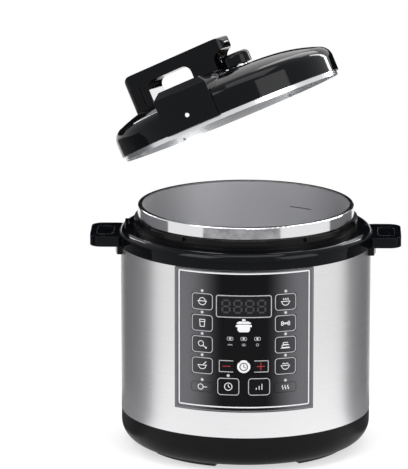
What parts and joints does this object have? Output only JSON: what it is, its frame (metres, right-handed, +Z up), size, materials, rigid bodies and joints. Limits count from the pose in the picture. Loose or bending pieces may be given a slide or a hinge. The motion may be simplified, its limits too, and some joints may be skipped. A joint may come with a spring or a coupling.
{
  "type": "electric pressure cooker",
  "caption": "Electric pressure cooker with a steel body, black collar and handles, keyed control panel, inner pot and a bayonet lid held open above it.",
  "frame": {"origin": "on the cooker's axis at the level of the feet", "axes": "+Z up along the axis, -Y towards the control panel, +X towards the right handle"},
  "size_m": [0.335, 0.2978, 0.4432],
  "materials": {
    "steel_shell": "brushed stainless steel sheet",
    "black_gloss": "moulded black plastic with a mirror gloss",
    "black_satin": "moulded dark grey plastic with a satin texture",
    "pot_steel": "polished stainless steel",
    "outer_pot_black": "steel with a baked black coat",
    "cast_aluminium": "die-cast aluminium",
    "sheath_steel": "drawn steel",
    "spring_steel": "spring steel wire",
    "screw_steel": "zinc-plated steel",
    "fuse_ceramic": "glazed ceramic sleeve",
    "panel_film": "printed panel film over moulded plastic",
    "window_smoke": "smoked acrylic",
    "lamp_clear": "diffusing plastic light guides",
    "board_green": "glass-fibre circuit board with green solder mask",
    "component_blue": "moulded and sleeved components",
    "switch_black": "moulded nylon",
    "wire_red": "silicone sleeving",
    "cup_clear": "translucent moulded plastic",
    "mark_white": "white print",
    "float_red": "red moulded plastic",
    "seal_silicone": "translucent silicone rubber",
    "seal_grey": "grey silicone rubber",
    "foot_rubber": "black rubber"
  },
  "bodies": {
    "base": {"base_housing": "black_satin", "feet": "foot_rubber", "steel_body": "steel_shell", "collar": "black_gloss", "handle_covers": "black_satin", "outer_pot": "outer_pot_black", "heating_plate": "cast_aluminium", "heating_element": "sheath_steel", "sensor_spring": "spring_steel", "sensor_bracket": "sheath_steel", "thermal_fuse": "fuse_ceramic", "pressure_switch": "switch_black", "tie_posts": "screw_steel", "base_screws": "screw_steel", "post_screws": "screw_steel", "control_panel": "panel_film", "display_window": "window_smoke", "display_module": "switch_black", "lamp_lenses": "lamp_clear", "control_board": "board_green", "tact_switches": "switch_black", "board_screws": "screw_steel", "power_board": "board_green", "power_parts": "component_blue", "power_inlet": "switch_black", "wiring": "wire_red"},
    "pot": {"inner_pot": "pot_steel"},
    "inner_lid": {"inner_lid": "cast_aluminium", "sealing_ring": "seal_silicone"},
    "lid": {"lid_cover": "black_gloss", "lid_mark": "mark_white", "steel_lid": "steel_shell", "lid_handle": "black_gloss", "handle_screws": "screw_steel", "exhaust_pipe": "pot_steel", "pipe_nut": "screw_steel", "screen_cap": "pot_steel", "float_seal": "seal_grey", "centre_post": "screw_steel", "centre_knob": "switch_black"},
    "exhaust_knob": {"exhaust_knob": "black_gloss"},
    "float_valve": {"float_valve": "float_red"},
    "sensor": {"temperature_sensor": "cast_aluminium"},
    "cup": {"condensate_cup": "cup_clear"},
    "key_left_1": {"key_left_1": "panel_film"},
    "key_left_2": {"key_left_2": "panel_film"},
    "key_left_3": {"key_left_3": "panel_film"},
    "key_left_4": {"key_left_4": "panel_film"},
    "key_left_5": {"key_left_5": "panel_film"},
    "key_right_1": {"key_right_1": "panel_film"},
    "key_right_2": {"key_right_2": "panel_film"},
    "key_right_3": {"key_right_3": "panel_film"},
    "key_right_4": {"key_right_4": "panel_film"},
    "key_right_5": {"key_right_5": "panel_film"},
    "key_minus": {"key_minus": "panel_film"},
    "key_plus": {"key_plus": "panel_film"},
    "key_low_left": {"key_low_left": "panel_film"},
    "key_low_right": {"key_low_right": "panel_film"}
  },
  "joints": [
    {"name": "pot_lift", "type": "slide", "parent": "base", "child": "pot", "axis": [0, 0, 1], "range_m": [0, 0.17]},
    {"name": "lid_swing", "type": "hinge", "parent": "pot", "child": "inner_lid", "pos_m": [-0.22216, 0.12267, 0.26253], "axis": [-0.4834, -0.8754, 0], "range_deg": [-26.27, 0]},
    {"name": "lid_turn", "type": "hinge", "parent": "inner_lid", "child": "lid", "pos_m": [-0.0167, 0.00922, 0.3604], "axis": [-0.3875, 0.214, 0.8967], "range_deg": [0, 22.5]},
    {"name": "exhaust_turn", "type": "hinge", "parent": "lid", "child": "exhaust_knob", "pos_m": [-0.00712, 0.00788, 0.4117], "axis": [-0.3875, 0.214, 0.8967], "range_deg": [-20, 20]},
    {"name": "float_rise", "type": "slide", "parent": "lid", "child": "float_valve", "axis": [-0.3875, 0.214, 0.8967], "range_m": [0, 0.003]},
    {"name": "sensor_press", "type": "slide", "parent": "base", "child": "sensor", "axis": [0, 0, 1], "range_m": [-0.003, 0], "stiffness_N_per_m": 600, "springref_m": 0.006, "deforming": ["sensor_spring"]},
    {"name": "cup_pull", "type": "slide", "parent": "base", "child": "cup", "axis": [0, 1, 0], "range_m": [0, 0.045]},
    {"name": "key_left_1_press", "type": "slide", "parent": "base", "child": "key_left_1", "axis": [0.3214, 0.9469, 0], "range_m": [0, 0.0005], "stiffness_N_per_m": 800, "springref_m": -0.001},
    {"name": "key_left_2_press", "type": "slide", "parent": "base", "child": "key_left_2", "axis": [0.3214, 0.9469, 0], "range_m": [0, 0.0005], "stiffness_N_per_m": 800, "springref_m": -0.001},
    {"name": "key_left_3_press", "type": "slide", "parent": "base", "child": "key_left_3", "axis": [0.3214, 0.9469, 0], "range_m": [0, 0.0005], "stiffness_N_per_m": 800, "springref_m": -0.001},
    {"name": "key_left_4_press", "type": "slide", "parent": "base", "child": "key_left_4", "axis": [0.3214, 0.9469, 0], "range_m": [0, 0.0005], "stiffness_N_per_m": 800, "springref_m": -0.001},
    {"name": "key_left_5_press", "type": "slide", "parent": "base", "child": "key_left_5", "axis": [0.3214, 0.9469, 0], "range_m": [0, 0.0005], "stiffness_N_per_m": 800, "springref_m": -0.001},
    {"name": "key_right_1_press", "type": "slide", "parent": "base", "child": "key_right_1", "axis": [-0.3214, 0.9469, 0], "range_m": [0, 0.0005], "stiffness_N_per_m": 800, "springref_m": -0.001},
    {"name": "key_right_2_press", "type": "slide", "parent": "base", "child": "key_right_2", "axis": [-0.3214, 0.9469, 0], "range_m": [0, 0.0005], "stiffness_N_per_m": 800, "springref_m": -0.001},
    {"name": "key_right_3_press", "type": "slide", "parent": "base", "child": "key_right_3", "axis": [-0.3214, 0.9469, 0], "range_m": [0, 0.0005], "stiffness_N_per_m": 800, "springref_m": -0.001},
    {"name": "key_right_4_press", "type": "slide", "parent": "base", "child": "key_right_4", "axis": [-0.3214, 0.9469, 0], "range_m": [0, 0.0005], "stiffness_N_per_m": 800, "springref_m": -0.001},
    {"name": "key_right_5_press", "type": "slide", "parent": "base", "child": "key_right_5", "axis": [-0.3214, 0.9469, 0], "range_m": [0, 0.0005], "stiffness_N_per_m": 800, "springref_m": -0.001},
    {"name": "key_minus_press", "type": "slide", "parent": "base", "child": "key_minus", "axis": [0.1323, 0.9912, 0], "range_m": [0, 0.0005], "stiffness_N_per_m": 800, "springref_m": -0.001},
    {"name": "key_plus_press", "type": "slide", "parent": "base", "child": "key_plus", "axis": [-0.1323, 0.9912, 0], "range_m": [0, 0.0005], "stiffness_N_per_m": 800, "springref_m": -0.001},
    {"name": "key_low_left_press", "type": "slide", "parent": "base", "child": "key_low_left", "axis": [0.1192, 0.9929, 0], "range_m": [0, 0.0005], "stiffness_N_per_m": 800, "springref_m": -0.001},
    {"name": "key_low_right_press", "type": "slide", "parent": "base", "child": "key_low_right", "axis": [-0.1192, 0.9929, 0], "range_m": [0, 0.0005], "stiffness_N_per_m": 800, "springref_m": -0.001}
  ]
}
